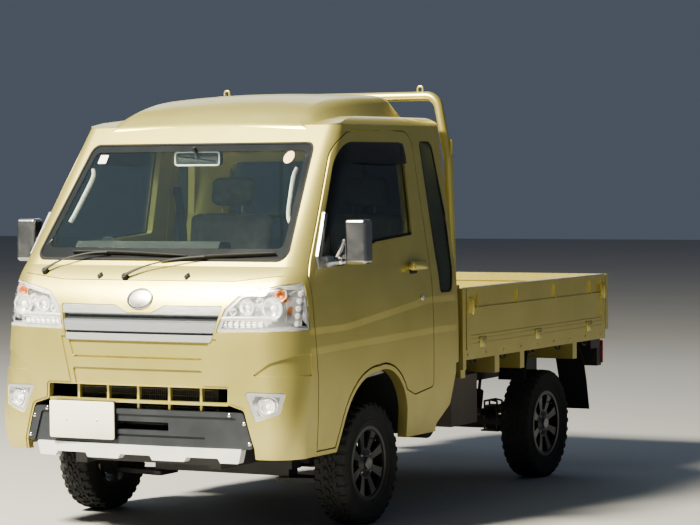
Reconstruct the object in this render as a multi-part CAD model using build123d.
from build123d import *
import math
import os
from collections import namedtuple

# Kei truck with an extended cab, in millimetres.
# The nose points along -Y, the vehicle's left side is +X and the wheels stand on Z = 0.
# X = 0 is the middle of the track and Y = 0 is the middle of the overall length.

# Driving dimensions
LENGTH = 3395.0
WIDTH = 1475.0
WHEELBASE = 1900.0
FRONT_AXLE_Y = -946.0
TRACK = 1290.0
TYRE_R = 264.0
TYRE_W = 150.0
RIM_SEAT_R = 152.0
RIM_W = 122.0
CAB_REAR_Y = -90.0
CAB_BASE_Z = 345.0
CAB_TOP_Z = 1712.0
BED_FRONT_Y = -52.0
BED_FLOOR_Z = 687.0
GATE_H = 285.0
GATE_T = 34.0
GUARD_TOP_Z = 1876.0
GUARD_TUBE_R = 21.0

# Walls and clearances
WALL = 45.0
BUMPER_WALL = 32.0
ROOF_WALL = 28.0
GLASS = 5.0
GLASS_INSET = 4.0
SHUT_GAP = 6.0
SEAT_GAP = 0.3
SEAM = 3.0
SEAM_DEPTH = 9.0

# Derived places
NOSE_Y = -LENGTH / 2
TAIL_Y = LENGTH / 2
HALF = WIDTH / 2
REAR_AXLE_Y = FRONT_AXLE_Y + WHEELBASE
WHEEL_X = TRACK / 2
FAR = 2 * LENGTH

# Body stations: height, half width, distance of the nose behind the foremost point,
# bow of the nose over the half width, and radius of the front corner in plan
Station = namedtuple("Station", "z half back bow corner")
SIDE_BULGE = 2.2
BELT = Station(1125, HALF - 25, 165, 24, 115)
LOWER_BODY = (
    Station(CAB_BASE_Z, HALF - 14, 9, 44, 130),
    Station(600, HALF - SIDE_BULGE, 0, 47, 150),
    Station(850, HALF - SIDE_BULGE, 22, 44, 185),
    Station(985, HALF - 8, 58, 34, 170),
    BELT,
)
CAB_TOP = Station(CAB_TOP_Z, HALF - 101, 617, 14, 60)
REAR_CORNER = 24.0

# Roof: a rounded rail around the cab top carries a dome, given by sections from front to rear:
# half width and height of the dome's foot, the same of its shoulder, and height of its crown
ROOF_FOOT_Z = CAB_TOP_Z + 40
DomeStation = namedtuple("DomeStation", "y foot_half foot_z top_half top_z crown_z")
DOME = (
    DomeStation(-1086, 496, 1690, 486, 1692, 1694),
    DomeStation(-1078, 504, 1697, 482, 1706, 1715),
    DomeStation(-1060, 512, 1705, 474, 1718, 1732),
    DomeStation(-1020, 518, 1720, 470, 1742, 1761),
    DomeStation(-965, 520, 1735, 466, 1767, 1791),
    DomeStation(-900, 520, 1744, 462, 1787, 1816),
    DomeStation(-820, 520, 1748, 460, 1803, 1837),
    DomeStation(-720, 520, 1749, 459, 1817, 1852),
    DomeStation(-600, 520, 1749, 459, 1829, 1861),
    DomeStation(-460, 520, 1749, 460, 1838, 1866),
    DomeStation(-350, 520, 1749, 461, 1843, 1867),
    DomeStation(-295, 520, 1749, 463, 1841, 1865),
    DomeStation(-262, 520, 1749, 467, 1826, 1849),
    DomeStation(-238, 520, 1748, 476, 1798, 1815),
    DomeStation(-223, 520, 1745, 492, 1768, 1776),
    DomeStation(-214, 520, 1735, 506, 1741, 1745),
)
DOME_SHOULDER = 42.0


def rounded(corners):
    """A flat outline from corners given as (u, v, radius)."""
    face = make_face(Polyline(*[(u, v) for u, v, _ in corners], close=True))
    for u, v, radius in corners:
        if radius:
            face = fillet(face.vertices().sort_by_distance((u, v, 0))[0], radius)
    return face


def side_prism(outline, x0, x1):
    """An outline drawn in (Y, Z), thickened from x0 to x1."""
    return Pos(x0, 0, 0) * extrude(Plane.YZ * outline, x1 - x0)


def front_prism(outline, y0, y1):
    """An outline drawn in (X, Z), thickened from y0 to y1."""
    return Pos(0, y1, 0) * extrude(Plane.XZ * outline, y1 - y0)


def plan_prism(outline, z0, z1):
    """An outline drawn in (X, Y), thickened from z0 to z1."""
    return Pos(0, 0, z0) * extrude(outline, z1 - z0)


def block(x0, x1, y0, y1, z0, z1):
    centre = Pos((x0 + x1) / 2, (y0 + y1) / 2, (z0 + z1) / 2)
    return centre * Box(x1 - x0, y1 - y0, z1 - z0)


def rod(start, end, radius):
    """A round bar between two points."""
    a, b = Vector(*start), Vector(*end)
    plane = Plane(origin=a, z_dir=(b - a))
    return extrude(plane * Circle(radius), (b - a).length)


def tube_run(points, bend, radius):
    """A bent round tube: straight lengths joined by arcs of one bend radius."""
    corners = [Vector(*point) for point in points]
    start = corners[0]
    tube = None
    for here, after in zip(corners[1:-1], corners[2:]):
        along = (here - start).normalized()
        onward = (after - here).normalized()
        turn = along.get_angle(onward)
        reach = bend * math.tan(math.radians(turn / 2))
        meet = here - along * reach
        normal = along.cross(onward).normalized()
        centre = meet + normal.cross(along) * bend
        mouth = Plane(origin=meet, z_dir=along) * Circle(radius)
        arc = revolve(mouth, Axis(centre, normal), turn)
        straight = rod(start, meet, radius)
        tube = straight + arc if tube is None else tube + straight + arc
        start = here + onward * reach
    return tube + rod(start, corners[-1], radius)


def mirrored(shape):
    return mirror(shape, about=Plane.YZ)


def both(shape):
    return Compound(children=[*shape.solids(), *mirrored(shape).solids()])


def gather(*shapes):
    solids = [solid for shape in shapes for solid in shape.solids()]
    return Compound(children=solids)


# Cab outer form
def body_section(station, inset):
    half = station.half - inset
    nose = NOSE_Y + station.back + 1.15 * inset
    side = nose + station.bow
    rear = CAB_REAR_Y - inset
    front = ThreePointArc((-half, side), (0, nose), (half, side))
    rest = Polyline((half, side), (half, rear), (-half, rear), (-half, side))
    face = make_face(front + rest)
    face = fillet(face.vertices().group_by(Axis.Y)[0], max(station.corner - inset, 12))
    face = fillet(face.vertices().group_by(Axis.Y)[-1], max(REAR_CORNER - inset, 2))
    return Pos(0, 0, station.z) * face


def body_form(inset):
    """The closed cab form below the roof, drawn in by an inset."""
    lower = loft([body_section(station, inset) for station in LOWER_BODY])
    glasshouse = loft([body_section(BELT, inset), body_section(CAB_TOP, inset)], ruled=True)
    return lower + glasshouse


FORMS = {}


def form(inset):
    """A body form made once for each inset."""
    if inset not in FORMS:
        FORMS[inset] = body_form(inset)
    return FORMS[inset]


def skin(region, outer, inner):
    """The part of the body shell between two insets that lies inside a region."""
    return (region & form(outer)) - form(inner)


WALL_RING = form(0) - form(WALL)

# Outlines of the cab openings, as (Y, Z, radius) seen from the side
DOOR_FRONT_Y = -1450.0
DOOR_REAR_Y = -362.0
DOOR_BASE_Z = 362.0
DOOR_TOP_Z = 1692.0
DOOR_OPENING = rounded(
    (
        (DOOR_FRONT_Y, DOOR_BASE_Z, 0),
        (-1200, DOOR_BASE_Z, 0),
        (-1200, 480, 0),
        (-650, 560, 0),
        (-550, 526, 8),
        (DOOR_REAR_Y, 548, 30),
        (DOOR_REAR_Y, 1150, 0),
        (DOOR_REAR_Y - 30, DOOR_TOP_Z, 85),
        (-1076, DOOR_TOP_Z, 280),
        (-1446, 1146, 60),
        (-1480, 1088, 12),
        (-1478, 900, 0),
        (DOOR_FRONT_Y, 660, 40),
    )
)
WINDOW = rounded(
    (
        (-1400, 1149, 10),
        (-1120, 1152, 100),
        (-850, 1210, 120),
        (-500, 1231, 14),
        (-484, 1640, 35),
        (-1091, 1640, 240),
    )
)
QUARTER_WINDOW = rounded(
    (
        (-285, 964, 22),
        (-165, 964, 30),
        (-141, 1060, 60),
        (-138, 1320, 60),
        (-196, 1645, 38),
        (-322, 1645, 22),
        (-300, 1200, 0),
    )
)
ARCH_H = 657.0
ARCH_FRONT_Y = -1300.0
ARCH_REAR_Y = -622.0
ARCH_LIP = 20.0
ARCH_GAP = 9.0


def arch_outline(grow):
    """The front wheel arch: a leaning front edge, a round crown and a steep rear edge."""
    top = ARCH_H + grow
    crown = ThreePointArc((-1200 - grow, 488), (-1068 - grow * 0.7, 617 + grow * 0.7), (-900, top))
    back = ThreePointArc((-900, top), (-712 + grow * 0.7, 615 + grow * 0.7), (ARCH_REAR_Y + grow, 470))
    foot = Polyline(
        (ARCH_REAR_Y + grow, 470),
        (ARCH_REAR_Y + grow, 250),
        (ARCH_FRONT_Y - 20 - grow, 250),
        (-1200 - grow, 488),
    )
    return make_face(crown + back + foot)


REAR_CUT = rounded(
    (
        (-330, 200, 0),
        (-330, 377, 30),
        (-192, 455, 20),
        (-130, 612, 20),
        (-86, 640, 0),
        (300, 640, 0),
        (300, 200, 0),
    )
)

# Front outlines, as (X, Z, radius) seen from the front
NOSE_REAR_Y = -1505.0
SCREEN_BASE_Z = 1143.0
SCREEN_TOP_Z = 1640.0
SCREEN_CORNER = 45.0
COWL_END_Z = 1088.0


def screen_edge(z):
    """Half width of the screen's straight sides at a height."""
    return 624 - 0.1348 * (z - SCREEN_BASE_Z)


def screen_outline(low, high, corner):
    return rounded(
        (
            (-screen_edge(low), low, corner),
            (screen_edge(low), low, corner),
            (screen_edge(high), high, corner),
            (-screen_edge(high), high, corner),
        )
    )


COWL_END_X = screen_edge(COWL_END_Z)
SCREEN = screen_outline(SCREEN_BASE_Z, SCREEN_TOP_Z, SCREEN_CORNER)
SCREEN_ZONE = screen_outline(COWL_END_Z, CAB_TOP_Z, 0)
HEADER_ZONE = screen_outline(SCREEN_TOP_Z - SCREEN_CORNER - 5, CAB_TOP_Z, 0)
DOOR_REACH = WALL + 8
OPENING_REACH = DOOR_REACH + 22


def side_zone(reach):
    """The left wall's own zone seen from the front, down to a reach inside the glasshouse."""
    return rounded(
        (
            (BELT.half - reach, 200, 0),
            (BELT.half - reach, BELT.z, 0),
            (CAB_TOP.half - DOOR_REACH, CAB_TOP_Z, 0),
            (900, CAB_TOP_Z, 0),
            (900, 200, 0),
        )
    )


LAMP_OUTLINE = rounded(
    (
        (377, 862, 8),
        (900, 872, 0),
        (900, 1078, 0),
        (640, 1052, 60),
        (470, 1018, 50),
        (408, 955, 10),
    )
)
GRILLE_TOP_Z = 965.0
GRILLE_DIP_Z = 932.0
GRILLE_BASE_Z = 818.0


def grille_face(inset):
    """The grille's outline: a trapezoid whose top edge dips at the middle."""
    top = GRILLE_TOP_Z - inset
    dip = GRILLE_DIP_Z - inset
    low = GRILLE_BASE_Z + inset
    return rounded(
        (
            (-352 + inset, low, 8),
            (352 - inset, low, 8),
            (392 - inset, top, 8),
            (120, top - 2, 30),
            (60, dip, 40),
            (-60, dip, 40),
            (-120, top - 2, 30),
            (-392 + inset, top, 8),
        )
    )


BUMPER_TOP_Z = 860.0
FOG_OUTLINE = rounded(((515, 621, 10), (684, 619, 10), (668, 533, 14), (566, 498, 14)))
INTAKE = rounded(
    (
        (-437, 631, 6),
        (-437, 566, 10),
        (-512, 543, 20),
        (-556, 388, 10),
        (-556, 300, 0),
        (556, 300, 0),
        (556, 388, 10),
        (512, 543, 20),
        (437, 566, 10),
        (437, 631, 6),
    )
)
NOSE_SPAN = (NOSE_Y - 20, NOSE_REAR_Y)


def nose_part(outline, outer, inner):
    """The part of a body shell that lies inside a front outline, ahead of the doors."""
    return skin(front_prism(outline, *NOSE_SPAN), outer, inner)


def nose_cutter(outline, depth):
    """What a front outline cuts from the nose down to a depth below its surface."""
    return front_prism(outline, *NOSE_SPAN) - form(depth)


BUMPER_BOW = 47.0
BOW_R = (HALF * HALF + BUMPER_BOW * BUMPER_BOW) / (2 * BUMPER_BOW)


def bow_part(outline, outer, inner):
    """Like nose_part, but on the bumper's plain bow, with upright walls."""
    centre = Pos(0, NOSE_Y + BOW_R, 500)
    band = centre * Cylinder(BOW_R - outer, 800) - centre * Cylinder(BOW_R - inner, 800)
    return front_prism(outline, *NOSE_SPAN) & band


# Cab panels
def side_opening(outline, reach=DOOR_REACH):
    """An opening through the left side wall only, whose inner limit leans in with the glasshouse."""
    return side_prism(outline, 480, 900) & front_prism(side_zone(reach), -1700, 0)


def make_side_panel():
    ring = WALL_RING & block(0, 900, NOSE_REAR_Y, CAB_REAR_Y - WALL, 0, CAB_TOP_Z)
    pillar_zone = block(0, 900, -1600, NOSE_REAR_Y, 1088, CAB_TOP_Z)
    ring = ring + (WALL_RING & pillar_zone)
    ring = ring - front_prism(SCREEN_ZONE, -1700, -900)
    ring = ring - block(0, COWL_END_X, -1600, -1300, BUMPER_TOP_Z, COWL_END_Z)
    opening = side_opening(DOOR_OPENING, OPENING_REACH) - side_opening(arch_outline(ARCH_LIP), OPENING_REACH)
    ring = ring - opening
    ring = ring - side_opening(arch_outline(0))
    ring = ring - side_opening(QUARTER_WINDOW)
    ring = ring - side_prism(REAR_CUT, 0, 900)
    return ring.solids().sort_by(SortBy.VOLUME)[-1]


def make_door():
    gap = offset(DOOR_OPENING, -SHUT_GAP)
    door = WALL_RING & side_opening(gap)
    door = door - side_opening(arch_outline(ARCH_LIP + ARCH_GAP))
    step = side_prism(arch_outline(ARCH_LIP + ARCH_GAP + 14), 0, HALF - 16)
    door = door - (step & side_opening(gap))
    door = door - side_opening(WINDOW)
    door = door.solids().sort_by(SortBy.VOLUME)[-1]
    handle_y, handle_z = -520, 1093
    grip = block(722, 737, handle_y - 62, handle_y + 62, handle_z - 13, handle_z + 13)
    grip = fillet(grip.edges().filter_by(Axis.X), 10)
    feet = block(700, 730, handle_y - 58, handle_y - 34, handle_z - 9, handle_z + 9)
    feet = feet + block(700, 730, handle_y + 34, handle_y + 58, handle_z - 9, handle_z + 9)
    lock = rod((705, -470, 950), (735, -470, 950), 13)
    return door + grip + feet + lock


def make_door_glass():
    return skin(side_opening(WINDOW), GLASS_INSET + 8, GLASS_INSET + 8 + GLASS)


REAR_WINDOW = rounded(((-470, 1130, 40), (470, 1130, 40), (440, 1560, 40), (-440, 1560, 40)))


def make_cab_windows():
    quarter = skin(side_opening(QUARTER_WINDOW), GLASS_INSET, GLASS_INSET + GLASS)
    rear = front_prism(REAR_WINDOW, CAB_REAR_Y - 22, CAB_REAR_Y - 22 + GLASS)
    return gather(both(quarter), rear)


def make_rear_wall():
    wall = WALL_RING & block(-900, 900, CAB_REAR_Y - WALL, CAB_REAR_Y + 10, 640, CAB_TOP_Z)
    return wall - front_prism(REAR_WINDOW, -300, 0)


def dome_section(station, floor_z):
    """One arched section of the dome, standing across the cab on a floor height."""
    share = 0.75
    wall_x = station.foot_half + share * (station.top_half - station.foot_half)
    wall_z = station.foot_z + share * (station.top_z - station.foot_z)
    reach = min(DOME_SHOULDER, station.crown_z - station.foot_z)
    end_x = station.top_half - reach
    end_z = station.top_z + 0.45 * (station.crown_z - station.top_z)
    lean = (station.top_half - station.foot_half, station.top_z - station.foot_z)
    right = Polyline((station.foot_half, floor_z), (station.foot_half, station.foot_z), (wall_x, wall_z))
    right_bend = TangentArc((wall_x, wall_z), (end_x, end_z), tangent=lean)
    crown = ThreePointArc((end_x, end_z), (0, station.crown_z), (-end_x, end_z))
    left_bend = TangentArc((-wall_x, wall_z), (-end_x, end_z), tangent=(-lean[0], lean[1]))
    left = Polyline((-wall_x, wall_z), (-station.foot_half, station.foot_z), (-station.foot_half, floor_z))
    floor = Line((-station.foot_half, floor_z), (station.foot_half, floor_z))
    face = make_face(right + right_bend + crown + left_bend + left + floor)
    return Pos(0, station.y, 0) * (Plane.XZ * face)


def dome_room():
    """The hollow under the dome: its middle sections drawn in by the roof's thickness."""
    middle_y = (DOME[0].y + DOME[-1].y) / 2
    sections = []
    for station in DOME[3:-2]:
        shift = ROOF_WALL if station.y < middle_y else -ROOF_WALL
        inner = DomeStation(
            station.y + shift,
            station.foot_half - ROOF_WALL,
            station.foot_z - ROOF_WALL,
            station.top_half - ROOF_WALL,
            station.top_z - ROOF_WALL,
            station.crown_z - ROOF_WALL,
        )
        sections.append(dome_section(inner, CAB_TOP_Z - ROOF_WALL))
    return loft(sections)


def roof_rail():
    """The roof's rounded edge from the door tops up to the dome's foot."""
    half = CAB_TOP.half + 1
    front = NOSE_Y + CAB_TOP.back - 1
    low = CAB_TOP_Z - 20
    profile = rounded(
        (
            (front, low, 0),
            (front, CAB_TOP_Z + 0.5, 0),
            (front + 117, ROOF_FOOT_Z - 15, 200),
            (front + 262, ROOF_FOOT_Z, 200),
            (CAB_REAR_Y - 30, ROOF_FOOT_Z, 40),
            (CAB_REAR_Y + 1, CAB_TOP_Z + 13, 0),
            (CAB_REAR_Y + 1, low, 0),
        )
    )
    foot = DOME[-1].foot_half
    left_edge = ThreePointArc((half, CAB_TOP_Z + 1), (half - 29, CAB_TOP_Z + 29), (foot, ROOF_FOOT_Z))
    right_edge = ThreePointArc((-half, CAB_TOP_Z + 1), (29 - half, CAB_TOP_Z + 29), (-foot, ROOF_FOOT_Z))
    flat = Line((foot, ROOF_FOOT_Z), (-foot, ROOF_FOOT_Z))
    rest = Polyline((half, CAB_TOP_Z + 1), (half, low), (-half, low), (-half, CAB_TOP_Z + 1))
    section = make_face(left_edge + flat + right_edge + rest)
    plan = extrude(body_section(CAB_TOP, 0), 2 * (ROOF_FOOT_Z - CAB_TOP_Z))
    return plan & side_prism(profile, -FAR, FAR) & front_prism(section, -FAR, FAR)


def rail_room():
    """The shallow hollow under the roof's rail."""
    ceiling = ROOF_FOOT_Z - ROOF_WALL
    half = CAB_TOP.half - WALL
    foot = DOME[-1].foot_half - ROOF_WALL
    low = CAB_TOP_Z - 20
    section = rounded(
        (
            (-half, low, 0),
            (half, low, 0),
            (half, CAB_TOP_Z, 0),
            (foot, ceiling, 0),
            (-foot, ceiling, 0),
            (-half, CAB_TOP_Z, 0),
        )
    )
    plan = Pos(0, 0, -30) * extrude(body_section(CAB_TOP, WALL), 2 * WALL)
    return plan & front_prism(section, -FAR, FAR)


def make_roof():
    """Rail and dome as one hollow pressing, with the header over the windscreen."""
    floors = [max(station.foot_z - 22, 1668) if station.y < -1030 else CAB_TOP_Z for station in DOME]
    dome = loft([dome_section(station, floor) for station, floor in zip(DOME, floors)])
    header = (WALL_RING & front_prism(HEADER_ZONE, -1250, -900)) - front_prism(SCREEN, -1700, -900)
    return roof_rail() + dome - rail_room() - dome_room() + header


def make_windscreen():
    return skin(front_prism(SCREEN, -1700, -900), GLASS_INSET, GLASS_INSET + GLASS)


COWL_SEAM = ((COWL_END_X, COWL_END_Z, 0), (420, 1064, 200), (-420, 1064, 200), (-COWL_END_X, COWL_END_Z, 0))


def make_cowl():
    """The panel under the windscreen that carries the wipers and washer nozzles."""
    top = SCREEN_BASE_Z + SCREEN_CORNER + 5
    zone = rounded((*COWL_SEAM, (-screen_edge(top), top, 0), (screen_edge(top), top, 0)))
    cowl = skin(front_prism(zone, NOSE_Y, -1350), 0, WALL)
    seam = [(x, z + SEAM, radius) for x, z, radius in COWL_SEAM]
    gap = nose_cutter(rounded(((640, 1000, 0), *seam, (-640, 1000, 0))), SEAM_DEPTH)
    cowl = cowl - front_prism(SCREEN, -1700, -900) - gap
    return cowl.solids().sort_by(SortBy.VOLUME)[-1]


def make_front_panel():
    """The nose panel between the cowl, the headlamps and the grille."""
    top = COWL_SEAM[0][1]
    low = GRILLE_BASE_Z
    zone = rounded(((-900, low, 0), (900, low, 0), (900, top, 0), *COWL_SEAM, (-900, top, 0)))
    panel = nose_part(zone, 0, WALL)
    lamp = front_prism(LAMP_OUTLINE, *NOSE_SPAN)
    panel = panel - lamp - mirrored(lamp)
    panel = panel - front_prism(grille_face(0), *NOSE_SPAN)
    panel = panel - front_prism(bumper_zone(0), *NOSE_SPAN)
    lamp_seam = nose_cutter(offset(LAMP_OUTLINE, SEAM), SEAM_DEPTH)
    panel = panel - lamp_seam - mirrored(lamp_seam)
    panel = panel - nose_cutter(grille_face(-SEAM), SEAM_DEPTH)
    panel = panel - nose_cutter(bumper_zone(-SEAM), SEAM_DEPTH)
    return panel.solids().sort_by(SortBy.VOLUME)[-1]


def bumper_zone(lower):
    """Everything under the grille and the headlamps."""
    return rounded(
        (
            (-900, 200, 0),
            (900, 200, 0),
            (900, 870 - lower, 0),
            (378, BUMPER_TOP_Z - lower, 0),
            (354, GRILLE_BASE_Z - lower, 0),
            (-354, GRILLE_BASE_Z - lower, 0),
            (-378, BUMPER_TOP_Z - lower, 0),
            (-900, 870 - lower, 0),
        )
    )


# Pressings of the bumper: front outline as (X, Z, radius) and depth
CENTRE_PANEL = ((-322, 634, 0), (322, 634, 0), (381, 832, 0), (-381, 832, 0))
UPPER_PANEL = ((-320, 751, 5), (320, 751, 5), (350, 832, 0), (-350, 832, 0))
LOWER_PANEL = ((-300, 634, 0), (300, 634, 0), (318, 703, 8), (-318, 703, 8))
GROOVE = ((-314, 744, 3), (314, 744, 3), (314, 752, 3), (-314, 752, 3))
SWOOSH = ((545, 686, 4), (618, 738, 60), (720, 772, 90), (900, 796, 0), (900, 680, 0), (640, 683, 40))
PRESSINGS = ((CENTRE_PANEL, 5), (UPPER_PANEL, 12), (LOWER_PANEL, 12), (GROOVE, 19))
SWOOSH_DEPTH = 5.0


def make_bumper():
    """The painted bumper with its fog lamp pockets, intake, pressed centre panel and corner creases."""
    bumper = nose_part(bumper_zone(0), 0, BUMPER_WALL)
    bumper = bumper - front_prism(INTAKE, *NOSE_SPAN) - nose_cutter(offset(INTAKE, 10), 4)
    fog = front_prism(FOG_OUTLINE, *NOSE_SPAN)
    bumper = bumper - fog - mirrored(fog)
    swoosh = nose_cutter(rounded(SWOOSH), SWOOSH_DEPTH)
    lamp_seam = nose_cutter(offset(LAMP_OUTLINE, SEAM), SEAM_DEPTH)
    for cutter in (swoosh, lamp_seam):
        bumper = bumper - cutter - mirrored(cutter)
    for outline, depth in PRESSINGS:
        bumper = bumper - nose_cutter(rounded(outline), depth)
    return bumper


def make_grille():
    """Two bright bars with a plain band between them, on a back plate."""
    grille = nose_part(grille_face(0), 2, 30)
    for low, high in ((846, 856), (902, 926)):
        channel = rounded(((-500, low, 0), (500, low, 0), (500, high, 0), (-500, high, 0)))
        grille = grille - nose_cutter(channel, 16)
    return grille


def make_headlamps():
    """Lamp bowls, open towards their lenses."""
    bowl = nose_part(LAMP_OUTLINE, GLASS, WALL)
    room = front_prism(offset(LAMP_OUTLINE, -9), NOSE_Y - 20, NOSE_REAR_Y - 9)
    return both(bowl - skin(room, 0, WALL - 9))


def make_headlamp_lenses():
    return both(nose_part(LAMP_OUTLINE, 0, GLASS))


def make_fog_lamps():
    """Bezels with a round-cornered lamp well."""
    lamp = nose_part(FOG_OUTLINE, 2, BUMPER_WALL)
    return both(lamp - nose_cutter(offset(FOG_OUTLINE, -16), BUMPER_WALL - 8))


GUARD_TOP_Z_LOW = 534.0
INTAKE_BAR_Z = 566.0
SLAT_PITCH = 150.0


def make_intake_grid():
    """One cross bar and, behind it, five slats in the bumper's opening."""
    bar = rounded(
        (
            (-437, INTAKE_BAR_Z - 6, 0),
            (437, INTAKE_BAR_Z - 6, 0),
            (437, INTAKE_BAR_Z + 6, 0),
            (-437, INTAKE_BAR_Z + 6, 0),
        )
    )
    grid = bow_part(bar, 8, 40)
    for index in range(-2, 3):
        x = SLAT_PITCH * index
        slat = rounded(
            ((x - 5, GUARD_TOP_Z_LOW, 0), (x + 5, GUARD_TOP_Z_LOW, 0), (x + 5, 631, 0), (x - 5, 631, 0))
        )
        grid = grid + bow_part(slat, 32, 52)
    return grid


def make_guard():
    """The dark lower guard: a sunk panel with its slots inside a raised lip."""
    outer = rounded(
        ((-508, GUARD_TOP_Z_LOW, 20), (508, GUARD_TOP_Z_LOW, 20), (553, 386, 12), (-553, 386, 12))
    )
    panel = rounded(((-476, 514, 16), (476, 514, 16), (517, 380, 8), (-517, 380, 8)))
    slot = rounded(((-96, 448, 5), (160, 448, 5), (160, 484, 5), (-96, 484, 5)))
    thin = rounded(((-96, 420, 3), (330, 420, 3), (330, 430, 3), (-96, 430, 3)))
    guard = bow_part(outer, 0, 40) - bow_part(panel, -5, 7)
    return guard - front_prism(slot, *NOSE_SPAN) - bow_part(thin, -5, 14)


def make_skid_bar():
    """The bright bar along the guard's lower edge, with three stepped cut-outs."""
    top, low, step = 385.6, 326, 345
    outline = [(-500, top, 6), (500, top, 6), (486, low, 8)]
    for middle in (320, 0, -320):
        outline = outline + [
            (middle + 84, low, 3),
            (middle + 72, step, 3),
            (middle - 72, step, 3),
            (middle - 84, low, 3),
        ]
    return bow_part(rounded([*outline, (-486, low, 8)]), 0, 40)


# Cab inside
FLOOR_Z = 395.0
FLOOR_T = 12.0
DECK_Z = 690.0
STEP_Y = -1235.0
FLOOR_HALF = 676.0
LINER_T = 6.0
LINER_X = 418.0


def make_cab_floor():
    floor = block(-FLOOR_HALF, FLOOR_HALF, -1640, STEP_Y, FLOOR_Z - FLOOR_T, FLOOR_Z)
    riser = block(-FLOOR_HALF, FLOOR_HALF, STEP_Y - FLOOR_T, STEP_Y, FLOOR_Z - FLOOR_T, DECK_Z)
    deck = block(-FLOOR_HALF, FLOOR_HALF, STEP_Y - FLOOR_T, CAB_REAR_Y - WALL, DECK_Z - FLOOR_T, DECK_Z)
    pan = (floor + riser + deck) & form(WALL + SEAT_GAP)
    housing = side_prism(arch_outline(LINER_T + SEAT_GAP), LINER_X - SEAT_GAP, FAR)
    housing = housing & block(0, FAR, -FAR, 0, 0, DECK_Z - FLOOR_T - 5)
    return pan - housing - mirrored(housing)


DASH_HALF = 640.0
HOOD_X0, HOOD_X1 = 470.0, 250.0


def make_dashboard():
    """The dash with a raised hood over the instruments and the middle."""
    profile = rounded(
        (
            (-1500, 1180, 10),
            (-1385, 1192, 30),
            (-1310, 1186, 30),
            (-1262, 1125, 30),
            (-1195, 1030, 30),
            (-1225, 900, 30),
            (-1300, 820, 30),
            (-1590, 800, 0),
            (-1590, 1060, 20),
        )
    )
    hood = rounded(((-1440, 1150, 0), (-1440, 1222, 0), (-1322, 1220, 22), (-1285, 1140, 0)))
    dash = side_prism(profile, -DASH_HALF, DASH_HALF) + side_prism(hood, -HOOD_X0, HOOD_X1)
    dash = dash & form(WALL + SEAT_GAP)
    return dash - rod(along_column(-700), along_column(0), SHROUD_R + SEAT_GAP)


SEAT_X = 345.0


def make_seat(x):
    """Cushion, backrest and headrest, each a hair clear of the next."""
    low = DECK_Z + SEAT_GAP
    cushion = rounded(((-930, low, 20), (-430, low, 6), (-430, 792, 6), (-560, 800, 40), (-940, 830, 50)))
    front = -430 + SEAT_GAP
    back = rounded(
        ((front, 735, 6), (-330, 735, 20), (-235, 1330, 30), (-330, 1350, 30), (front, 800, 10))
    )
    head = rounded(((-322, 1349, 10), (-240, 1331.8, 10), (-222, 1493, 25), (-300, 1503, 25)))
    return gather(
        side_prism(cushion, x - 235, x + 235),
        side_prism(back, x - 230, x + 230),
        side_prism(head, x - 120, x + 120),
    )


COLUMN_X = -SEAT_X
WHEEL_HUB = (COLUMN_X, -1080.0, 1062.0)
COLUMN_TILT = 38.0
SHROUD_R = 48.0
STEER_DIR = (0, math.sin(math.radians(COLUMN_TILT)), math.cos(math.radians(COLUMN_TILT)))


def along_column(distance):
    return tuple(c + d * distance for c, d in zip(WHEEL_HUB, STEER_DIR))


def make_steering_wheel():
    plane = Plane(origin=WHEEL_HUB, z_dir=STEER_DIR, x_dir=(1, 0, 0))
    rim = plane * Torus(178, 14)
    hub = plane * (Pos(0, 0, -10) * Cylinder(52, 44))
    spokes = plane * Box(340, 30, 14)
    spokes = spokes + plane * (Pos(0, -86, 0) * Box(34, 168, 14))
    return rim + hub + spokes


def make_column():
    shaft = rod(along_column(-620), along_column(-33), 22)
    shroud = rod(along_column(-260), along_column(-40), SHROUD_R)
    return shaft + shroud


# Chassis
RAIL_X0, RAIL_X1 = 300.0, 356.0
FRONT_RAIL_Z0, FRONT_RAIL_Z1 = 290.0, 372.0
REAR_RAIL_Z0, REAR_RAIL_Z1 = 468.0, 560.0


def make_chassis():
    profile = rounded(
        (
            (-1600, FRONT_RAIL_Z0, 0),
            (-560, FRONT_RAIL_Z0, 60),
            (-180, REAR_RAIL_Z0, 60),
            (1640, REAR_RAIL_Z0, 0),
            (1640, REAR_RAIL_Z1, 0),
            (-220, REAR_RAIL_Z1, 60),
            (-600, FRONT_RAIL_Z1, 60),
            (-1600, FRONT_RAIL_Z1, 0),
        )
    )
    frame = side_prism(profile, RAIL_X0, RAIL_X1)
    frame = frame + mirrored(frame)
    for y, z in ((-1570, 300), (-1190, 300), (-330, 441), (330, 480), (620, 480), (1270, 480), (1600, 480)):
        frame = frame + block(-RAIL_X0 - 5, RAIL_X0 + 5, y, y + 55, z, z + 56)
    for y in (-1560, -1290):
        for x in (-RAIL_X1, RAIL_X0):
            frame = frame + block(x, x + RAIL_X1 - RAIL_X0, y, y + 50, FRONT_RAIL_Z1 - 5, FLOOR_Z - FLOOR_T)
    return frame


def make_engine():
    return block(-190, 190, -900, -450, 270, 600)


def make_drive_line():
    gearbox = block(-110, 110, -450, 20, 290, 440)
    shaft = rod((0, 20, 350), (0, REAR_AXLE_Y - 110, TYRE_R + 14), 26)
    return gearbox + shaft


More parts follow.
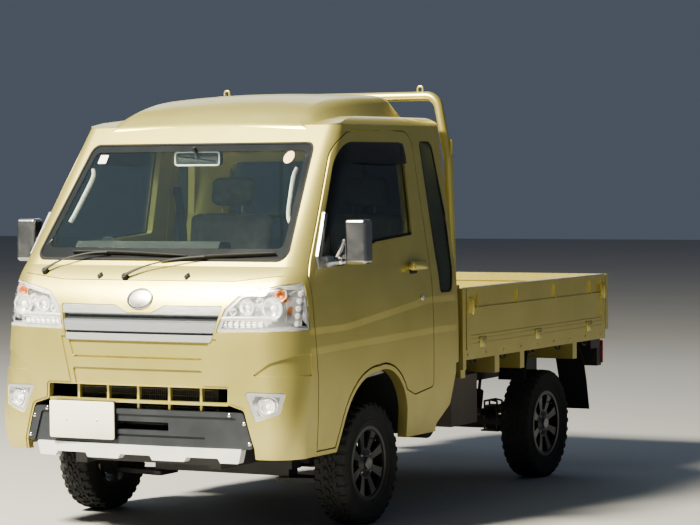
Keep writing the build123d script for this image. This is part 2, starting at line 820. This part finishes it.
def make_rear_axle():
    tube = rod((-540, REAR_AXLE_Y, TYRE_R), (540, REAR_AXLE_Y, TYRE_R), 36)
    bowl = Pos(0, REAR_AXLE_Y, TYRE_R) * Rot(0, 90, 0) * Cylinder(100, 110)
    nose = rod((0, REAR_AXLE_Y - 105, TYRE_R + 14), (0, REAR_AXLE_Y, TYRE_R), 48)
    axle = tube + bowl + nose
    for side in (-1, 1):
        drum = rod((side * 540, REAR_AXLE_Y, TYRE_R), (side * 612, REAR_AXLE_Y, TYRE_R), 112)
        hub = rod((side * 600, REAR_AXLE_Y, TYRE_R), (side * HUB_FACE_X, REAR_AXLE_Y, TYRE_R), 30)
        axle = axle + drum + hub
    return axle


DISC_BACK = 34.0
HUB_FACE_X = WHEEL_X + RIM_W / 2 - DISC_BACK - 0.3
SPRING_X0, SPRING_X1 = 395.0, 445.0
SPRING_HALF = 520.0
LEAF_T = 8.0
LEAF_RISE = 95.0


def make_leaf_springs():
    """A pack of four bowed leaves on each side, with its clamp, eyes and hangers."""
    pack = None
    mid = REAR_AXLE_Y
    base_z = TYRE_R + 36
    for index, share in enumerate((1.0, 0.8, 0.6, 0.4)):
        reach = SPRING_HALF * share
        rise = LEAF_RISE * share * share
        low = base_z + (3 - index) * LEAF_T
        high = low + LEAF_T
        bottom = ThreePointArc((mid - reach, low + rise), (mid, low), (mid + reach, low + rise))
        top = ThreePointArc((mid + reach, high + rise), (mid, high), (mid - reach, high + rise))
        ends = Line((mid + reach, low + rise), (mid + reach, high + rise))
        ends = ends + Line((mid - reach, high + rise), (mid - reach, low + rise))
        leaf = side_prism(make_face(bottom + top + ends), SPRING_X0, SPRING_X1)
        pack = leaf if pack is None else pack + leaf
    eye_z = base_z + 3 * LEAF_T + LEAF_RISE + 4
    hanger_z = REAR_RAIL_Z1 - 20
    for side in (-1, 1):
        y = mid + side * SPRING_HALF
        pack = pack + rod((RAIL_X1, y, eye_z), (SPRING_X1 + 8, y, eye_z), 17)
        hanger = rounded(
            (
                (y - 40, hanger_z, 0),
                (y + 40, hanger_z, 0),
                (y + 20, eye_z - 22, 12),
                (y - 20, eye_z - 22, 12),
            )
        )
        pack = pack + side_prism(hanger, RAIL_X1, RAIL_X1 + 10)
    pack = pack + block(SPRING_X0 - 6, SPRING_X1 + 6, mid - 45, mid + 45, base_z + 32, base_z + 46)
    return both(pack)


BALL = (600.0, FRONT_AXLE_Y, 196.0)
STRUT_TOP = (470.0, FRONT_AXLE_Y, 660.0)


def make_front_suspension():
    """Cross member, lower arms and strut mounts."""
    beam = block(-RAIL_X0, RAIL_X0, FRONT_AXLE_Y - 50, FRONT_AXLE_Y + 30, 196, 256)
    beam = beam + block(RAIL_X0 - 40, RAIL_X1, FRONT_AXLE_Y - 50, FRONT_AXLE_Y + 30, 226, FRONT_RAIL_Z0)
    beam = beam + block(-RAIL_X1, -RAIL_X0 + 40, FRONT_AXLE_Y - 50, FRONT_AXLE_Y + 30, 226, FRONT_RAIL_Z0)
    arm = plan_prism(
        rounded(
            (
                (290, FRONT_AXLE_Y - 80, 10),
                (330, FRONT_AXLE_Y - 80, 10),
                (560, FRONT_AXLE_Y - 20, 18),
                (560, FRONT_AXLE_Y + 20, 18),
                (330, FRONT_AXLE_Y + 70, 10),
                (290, FRONT_AXLE_Y + 70, 10),
            )
        ),
        172,
        192,
    )
    arm = arm + block(290, 340, FRONT_AXLE_Y - 50, FRONT_AXLE_Y + 30, 180, 240)
    mount = plan_prism(Pos(STRUT_TOP[0], STRUT_TOP[1]) * Circle(62), STRUT_TOP[2] + 8, DECK_Z - FLOOR_T)
    return gather(beam + arm + mirrored(arm), both(mount))


def make_steering_rack():
    rack = rod((-300, -1090, 322 + 80), (300, -1090, 322 + 80), 24)
    boots = rod((-LINER_X + 6, -1090, 402), (LINER_X - 6, -1090, 402), 14)
    return rack + boots


def make_knuckle():
    """Upright with its stub axle, dust shield, steering arm and strut, for the left wheel."""
    stub = rod((560, FRONT_AXLE_Y, TYRE_R), (HUB_FACE_X, FRONT_AXLE_Y, TYRE_R), 30)
    upright = rod((556, FRONT_AXLE_Y, TYRE_R), (596, FRONT_AXLE_Y, TYRE_R), 46)
    shield = rod((596, FRONT_AXLE_Y, TYRE_R), (604, FRONT_AXLE_Y, TYRE_R), 108)
    leg = block(572, 600, FRONT_AXLE_Y - 18, FRONT_AXLE_Y + 18, 200, TYRE_R)
    neck = block(505, 575, FRONT_AXLE_Y - 22, FRONT_AXLE_Y + 22, TYRE_R + 20, TYRE_R + 70)
    tube = rod((513, FRONT_AXLE_Y, 300), (484, FRONT_AXLE_Y, 520), 25)
    rod_top = rod((484, FRONT_AXLE_Y, 520), STRUT_TOP, 12)
    spring_low = rod((492, FRONT_AXLE_Y, 470), (491, FRONT_AXLE_Y, 476), 55)
    arm = block(520, 570, FRONT_AXLE_Y - 110, FRONT_AXLE_Y, TYRE_R - 12, TYRE_R + 10)
    knuckle = stub + upright + shield + leg + neck + tube + rod_top + spring_low + arm
    return knuckle


# Wheels
def wheel_profile(points):
    """A half section (distance along the axle, radius) turned about the axle."""
    face = make_face(Polyline(*points, close=True))
    return revolve(Plane.XY * face, Axis.X)


FLANGE_T = 7.0
FLANGE_H = 12.0


def make_tyre():
    half = TYRE_W / 2
    seat = RIM_SEAT_R + SEAT_GAP
    foot = RIM_W / 2 - FLANGE_T - SEAT_GAP
    flange = RIM_SEAT_R + FLANGE_H + SEAT_GAP
    section = rounded(
        (
            (-foot, seat, 0),
            (foot, seat, 0),
            (foot, flange, 0),
            (RIM_W / 2 - 2, flange + 2, 0),
            (half, seat + 52, 30),
            (half - 4, TYRE_R - 14, 14),
            (half - 18, TYRE_R - 2, 8),
            (0, TYRE_R, 0),
            (-half + 18, TYRE_R - 2, 8),
            (-half + 4, TYRE_R - 14, 14),
            (-half, seat + 52, 30),
            (-RIM_W / 2 + 2, flange + 2, 0),
            (-foot, flange, 0),
        )
    )
    return revolve(section, Axis.X)


SPOKES = 8


def make_rim():
    """An eight-spoke rim with its barrel, bead lips, hub and centre cap, outer face towards +X."""
    half = RIM_W / 2
    seat = RIM_SEAT_R
    barrel = rounded(
        (
            (-half, seat + FLANGE_H, 2),
            (-half + FLANGE_T, seat + FLANGE_H, 2),
            (-half + FLANGE_T, seat, 0),
            (half - FLANGE_T, seat, 0),
            (half - FLANGE_T, seat + FLANGE_H, 2),
            (half, seat + FLANGE_H, 2),
            (half, seat - 8, 2),
            (half - 22, seat - 10, 0),
            (-half, seat - 9, 2),
        )
    )
    rim = revolve(barrel, Axis.X)
    face = rounded(
        (
            (half - DISC_BACK, 0, 0),
            (half - 8, 0, 0),
            (half - 8, 34, 4),
            (half - 16, 60, 8),
            (half - 6, seat - 9, 0),
            (half - 20, seat - 9, 0),
            (half - DISC_BACK, 60, 8),
        )
    )
    disc = revolve(face, Axis.X)
    window = make_face(
        Polyline((66, -13), (seat - 16, -34), (seat - 10, 0), (seat - 16, 34), (66, 13), close=True)
    )
    cutter = side_prism(fillet(window.vertices(), 7), 0, 200)
    for index in range(SPOKES):
        disc = disc - Rot(360 * index / SPOKES, 0, 0) * cutter
    bolt_ring = 50
    for index in range(4):
        turn = math.radians(45 + 90 * index)
        y, z = bolt_ring * math.cos(turn), bolt_ring * math.sin(turn)
        disc = disc - rod((0, y, z), (200, y, z), 7)
    cap = rod((half - 10, 0, 0), (half - 1, 0, 0), 27)
    return rim + disc + cap


def wheel_at(part, x, y):
    if x < 0:
        part = mirrored(part)
    return Pos(x, y, TYRE_R) * part


# Load bed
RAIL_OUT_X = 722.0
GATE_OUT_X = 734.0
GATE_IN_X = GATE_OUT_X - GATE_T
GATE_Z0 = BED_FLOOR_Z + 0.6
GATE_Z1 = BED_FLOOR_Z + GATE_H
TAILGATE_Y0 = TAIL_Y - GATE_T
GATE_REAR_Y = TAILGATE_Y0 - SHUT_GAP
SILL_Z0 = 641.0
BED_REAR_Y = TAIL_Y - 12
POST_T = 34.0
GUARD_FOOT_X = 670.0
GUARD_KNEE_X, GUARD_KNEE_Z = 656.0, 1560.0
GUARD_CORNER_X = 600.0
GUARD_BEND = 65.0
HOOK_X = 515.0
HOOK_TOP_Z = GUARD_TOP_Z + 25
RIB_YS = (108.0, 562.0, 1016.0, 1470.0)


def make_bed_floor():
    floor = block(-RAIL_OUT_X, RAIL_OUT_X, BED_FRONT_Y + 5, BED_REAR_Y, BED_FLOOR_Z - 14, BED_FLOOR_Z - 6)
    front, rear = BED_FRONT_Y + 40, TAILGATE_Y0 - 40
    for index in range(11):
        x = -600 + 120 * index
        floor = floor + block(x - 36, x + 36, front, rear, BED_FLOOR_Z - 6, BED_FLOOR_Z)
    for x in (-RAIL_OUT_X, RAIL_OUT_X - 36):
        floor = floor + block(x, x + 36, BED_FRONT_Y + 5, BED_REAR_Y, SILL_Z0, BED_FLOOR_Z)
    floor = floor + block(-RAIL_OUT_X, RAIL_OUT_X, BED_REAR_Y - 36, BED_REAR_Y, SILL_Z0, BED_FLOOR_Z)
    for x in (-GATE_OUT_X + 3, RAIL_OUT_X - 30):
        floor = floor + block(x, x + 39, BED_FRONT_Y + 2, BED_FRONT_Y + POST_T, SILL_Z0 - 42, BED_FLOOR_Z)
    reach = RAIL_OUT_X - 6
    for y, half in ((BED_FRONT_Y + 5, reach), (330, reach), (620, reach), (1270, reach), (1560, 540)):
        floor = floor + block(-half, half, y, y + 50, REAR_RAIL_Z1, BED_FLOOR_Z - 12)
    return floor


def make_headboard():
    """Front board of the bed between its corner posts, with the tubular guard frame over it."""
    y0 = BED_FRONT_Y + 5
    board = block(-GATE_IN_X, GATE_IN_X, y0, y0 + 26, BED_FLOOR_Z, GATE_Z1)
    board = board + block(-GATE_IN_X, GATE_IN_X, y0 - 3, y0 + 29, GATE_Z1 - 4, GATE_Z1 + 16)
    post_rear = BED_FRONT_Y + POST_T
    post = block(GATE_IN_X - 1, GATE_OUT_X - 3, BED_FRONT_Y, post_rear, BED_FLOOR_Z, GATE_Z1)
    board = board + post + mirrored(post)
    y = y0 + 13
    top = GUARD_TOP_Z - GUARD_TUBE_R
    leg = ((GUARD_FOOT_X, y, GATE_Z1), (GUARD_KNEE_X, y, GUARD_KNEE_Z), (GUARD_CORNER_X, y, top))
    right_leg = [(-x, y, z) for x, y, z in leg]
    board = board + tube_run((*right_leg, *reversed(leg)), GUARD_BEND, GUARD_TUBE_R)
    board = board + rod((-GUARD_KNEE_X, y, 1300), (GUARD_KNEE_X, y, 1300), 13)
    for x in (-220, 220):
        board = board + rod((x, y, GATE_Z1), (x, y, top), 11)
    for x in (-HOOK_X, HOOK_X):
        ring = ((x - 13, y, top), (x - 13, y, HOOK_TOP_Z), (x + 13, y, HOOK_TOP_Z), (x + 13, y, top))
        board = board + tube_run(ring, 12, 5)
    for side in (-1, 1):
        knob_x = side * (GUARD_KNEE_X + 14)
        board = board + rod((knob_x, y, GUARD_KNEE_Z + 25), (knob_x, y, GUARD_KNEE_Z + 95), 8)
    return board


def make_side_gate():
    """A drop side: a rail over a ribbed sunk band, a pressed panel and two crease lines."""
    y0 = BED_FRONT_Y + POST_T + SHUT_GAP
    low, high = y0 + 40, GATE_REAR_Y - 50
    gate = block(GATE_IN_X, GATE_OUT_X, y0, GATE_REAR_Y, GATE_Z0, GATE_Z1)
    band = block(GATE_OUT_X - 9, 800, low, high, GATE_Z1 - 92, GATE_Z1 - 26)
    for y in RIB_YS:
        band = band - block(GATE_OUT_X - 9, 800, y - 6, y + 6, GATE_Z1 - 92, GATE_Z1 - 26)
    gate = gate - band
    gate = gate - block(GATE_OUT_X - 5, 800, low, high, 752, GATE_Z1 - 104)
    for z in (736, 714):
        gate = gate - block(GATE_OUT_X - 3, 800, low, high, z, z + 6)
    return gate - block(600, GATE_IN_X + 8, low, high, GATE_Z0 + 40, GATE_Z1 - 40)


def make_tailgate():
    gate = block(-GATE_OUT_X, GATE_OUT_X, TAILGATE_Y0, TAIL_Y, GATE_Z0, GATE_Z1)
    gate = gate - block(-600, 600, TAIL_Y - 9, TAIL_Y + 10, 760, 930)
    gate = gate - block(-600, 600, TAILGATE_Y0 - 10, TAILGATE_Y0 + 8, GATE_Z0 + 40, GATE_Z1 - 40)
    return gate


def make_tail_lamps():
    lamp = block(520, 700, BED_REAR_Y - 60, BED_REAR_Y - 4, 500, 600)
    bracket = block(560, 716, BED_REAR_Y - 180, BED_REAR_Y - 60, 596, SILL_Z0)
    return lamp, bracket


def make_mud_flaps():
    """A leaning plate ahead of each rear wheel and a curved guard behind it."""
    plate = rounded(((735, SILL_Z0, 0), (743, SILL_Z0, 0), (702, 495, 3), (694, 495, 3)))
    guard = rounded(
        (
            (1324, SILL_Z0, 0),
            (1404, 565, 90),
            (1448, 440, 90),
            (1484, 290, 2),
            (1478, 290, 2),
            (1442, 438, 90),
            (1398, 560, 90),
            (1324, SILL_Z0 - 9, 0),
        )
    )
    return both(gather(side_prism(plate, 566, 705), side_prism(guard, 566, 716)))


LINER_BASE_Z = 360.0


def make_arch_liners():
    """Inner wheel housings over the front wheels."""
    outer = side_prism(arch_outline(LINER_T), LINER_X, HALF)
    inner = side_prism(arch_outline(0), LINER_X + LINER_T, HALF + 10)
    liner = (outer - inner) & form(WALL + SEAT_GAP)
    liner = liner - rod((STRUT_TOP[0], STRUT_TOP[1], 500), (STRUT_TOP[0], STRUT_TOP[1], 700), 24)
    return liner - block(300, 800, -2000, 0, 0, LINER_BASE_Z)


# Small pieces outside
def make_wipers():
    """Two arms and blades lying on the windscreen."""
    wipers = []
    for pivot_x, reach in ((-520, 440), (-90, 560)):
        base = (pivot_x, -1568, 1092)
        arm_end = (pivot_x + reach * 0.55, -1508, 1172)
        arm = rod(base, arm_end, 7)
        boss = rod((pivot_x, -1575, 1080), (pivot_x, -1535, 1110), 14)
        blade = rod((pivot_x + reach * 0.05, -1512, 1166), (pivot_x + reach, -1512, 1168), 6)
        wipers.append((arm + boss + blade) - form(-SEAT_GAP))
    return gather(*wipers)


# Mirror foot on the door's front window corner, as (Y, Z, radius)
MIRROR_FOOT = (
    (-1412, 1114, 0),
    (-1404, 1166, 0),
    (-1292, 1345, 0),
    (-1278, 1338, 0),
    (-1380, 1164, 0),
    (-1196, 1160, 0),
    (-1190, 1120, 0),
)


def make_mirror():
    """Box mirror on its arm, with an L-shaped foot at the window's front corner, for the left door."""
    housing = block(772, 874, -1284, -1216, 1128, 1316)
    housing = fillet(housing.edges(), 16)
    arm = rod((700, -1236, 1142), (790, -1250, 1172), 10)
    foot = skin(side_prism(rounded(MIRROR_FOOT), 600, 760), -11, -SEAT_GAP)
    return (housing + arm) - form(-SEAT_GAP) + foot


def make_battery_box():
    return block(430, 650, -10, 270, 330, REAR_RAIL_Z1)


def make_fuel_tank():
    tank = block(-660, -RAIL_X1 - SEAT_GAP, 60, 396, 300, 520)
    return fillet(tank.edges(), 20)


def make_exhaust():
    pipe = rod((-250, -300, 300), (-250, 700, 300), 20)
    can = rod((-250, 250, 300), (-250, 680, 300), 62)
    exhaust = pipe + can
    for y in (350, 640):
        exhaust = exhaust + rod((-250, y, 340), (-250, y, 480), 6)
    return exhaust


DOOR = make_door()
RIM = make_rim()
TYRE = make_tyre()
LAMP, LAMP_BRACKET = make_tail_lamps()
SIDE_PANEL = make_side_panel()
GLASS_LEFT = make_door_glass()
MIRROR_LEFT = make_mirror()
KNUCKLE = make_knuckle()
GATE = make_side_gate()
LINER = make_arch_liners()

PARTS = {
    "chassis_frame": make_chassis(),
    "cab_floor": make_cab_floor(),
    "side_panel_left": SIDE_PANEL,
    "side_panel_right": mirrored(SIDE_PANEL),
    "roof_panel": make_roof(),
    "rear_wall": make_rear_wall(),
    "front_panel": make_front_panel(),
    "cowl": make_cowl(),
    "windscreen": make_windscreen(),
    "cab_windows": make_cab_windows(),
    "front_bumper": make_bumper(),
    "grille": make_grille(),
    "intake_grid": make_intake_grid(),
    "lower_guard": make_guard(),
    "skid_bar": make_skid_bar(),
    "headlamps": make_headlamps(),
    "headlamp_lenses": make_headlamp_lenses(),
    "fog_lamps": make_fog_lamps(),
    "dashboard": make_dashboard(),
    "seat_left": make_seat(SEAT_X),
    "seat_right": make_seat(-SEAT_X),
    "steering_column": make_column(),
    "steering_wheel": make_steering_wheel(),
    "wipers": make_wipers(),
    "engine": make_engine(),
    "drive_line": make_drive_line(),
    "fuel_tank": make_fuel_tank(),
    "exhaust": make_exhaust(),
    "battery_box": make_battery_box(),
    "rear_axle": make_rear_axle(),
    "leaf_springs": make_leaf_springs(),
    "front_suspension": make_front_suspension(),
    "steering_rack": make_steering_rack(),
    "arch_liners": both(LINER),
    "mud_flaps": make_mud_flaps(),
    "bed_floor": make_bed_floor(),
    "headboard": make_headboard(),
    "tail_lamps": both(gather(LAMP, LAMP_BRACKET)),
    "door_left": DOOR,
    "door_right": mirrored(DOOR),
    "door_glass_left": GLASS_LEFT,
    "door_glass_right": mirrored(GLASS_LEFT),
    "mirror_left": MIRROR_LEFT,
    "mirror_right": mirrored(MIRROR_LEFT),
    "knuckle_left": KNUCKLE,
    "knuckle_right": mirrored(KNUCKLE),
    "side_gate_left": GATE,
    "side_gate_right": mirrored(GATE),
    "tailgate": make_tailgate(),
}
for end, y in (("front", FRONT_AXLE_Y), ("rear", REAR_AXLE_Y)):
    for side, x in (("left", WHEEL_X), ("right", -WHEEL_X)):
        PARTS[f"rim_{end}_{side}"] = wheel_at(RIM, x, y)
        PARTS[f"tyre_{end}_{side}"] = wheel_at(TYRE, x, y)

os.makedirs("parts", exist_ok=True)
for name, shape in PARTS.items():
    export_step(shape, f"parts/{name}.step")
